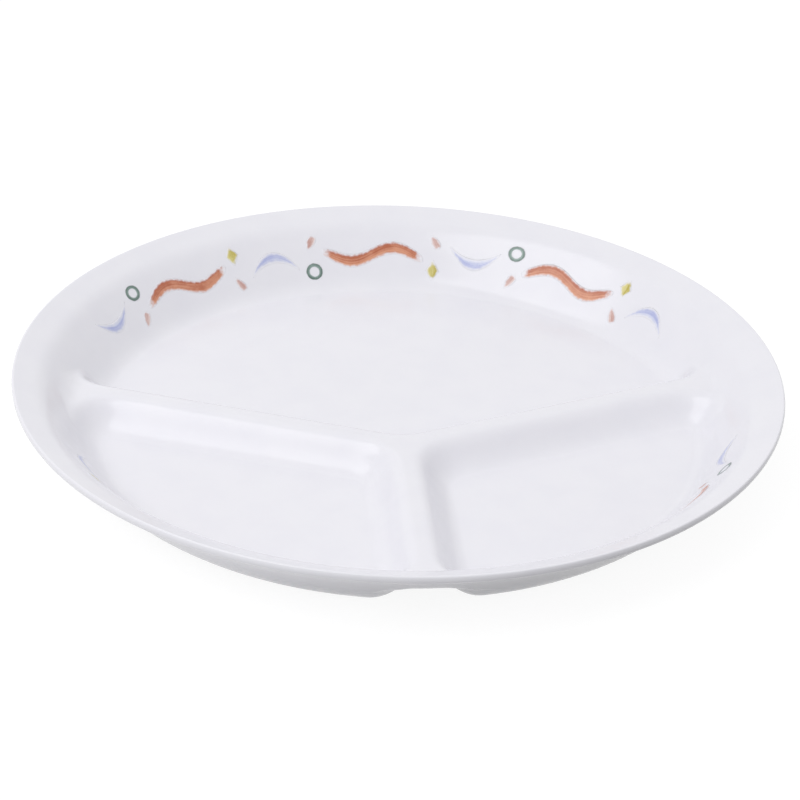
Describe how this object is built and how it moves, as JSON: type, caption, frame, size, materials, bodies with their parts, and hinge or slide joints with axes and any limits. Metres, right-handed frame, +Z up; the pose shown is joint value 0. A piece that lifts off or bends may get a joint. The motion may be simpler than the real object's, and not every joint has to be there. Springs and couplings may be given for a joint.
{
  "type": "divided compartment plate",
  "caption": "Round melamine plate with a flared rim, hollow Y-shaped dividers between its compartments and a printed border.",
  "frame": {"origin": "middle of the plate, on the plane that its base rests on", "axes": "+Z up, +Y from the middle towards the wide compartment, -Y along the divider between the two small compartments, +X to the right seen from the front"},
  "size_m": [0.23, 0.23, 0.0225],
  "materials": {
    "melamine": "gloss",
    "terracotta_ink": "gloss, printed under a clear glaze",
    "lilac_ink": "gloss, printed under a clear glaze",
    "green_ink": "gloss, printed under a clear glaze",
    "mustard_ink": "gloss, printed under a clear glaze",
    "blush_ink": "gloss, printed under a clear glaze"
  },
  "bodies": {
    "root": {"plate_body": "melamine", "print_terracotta": "terracotta_ink", "print_lilac": "lilac_ink", "print_green": "green_ink", "print_mustard": "mustard_ink", "print_blush": "blush_ink"}
  },
  "joints": []
}
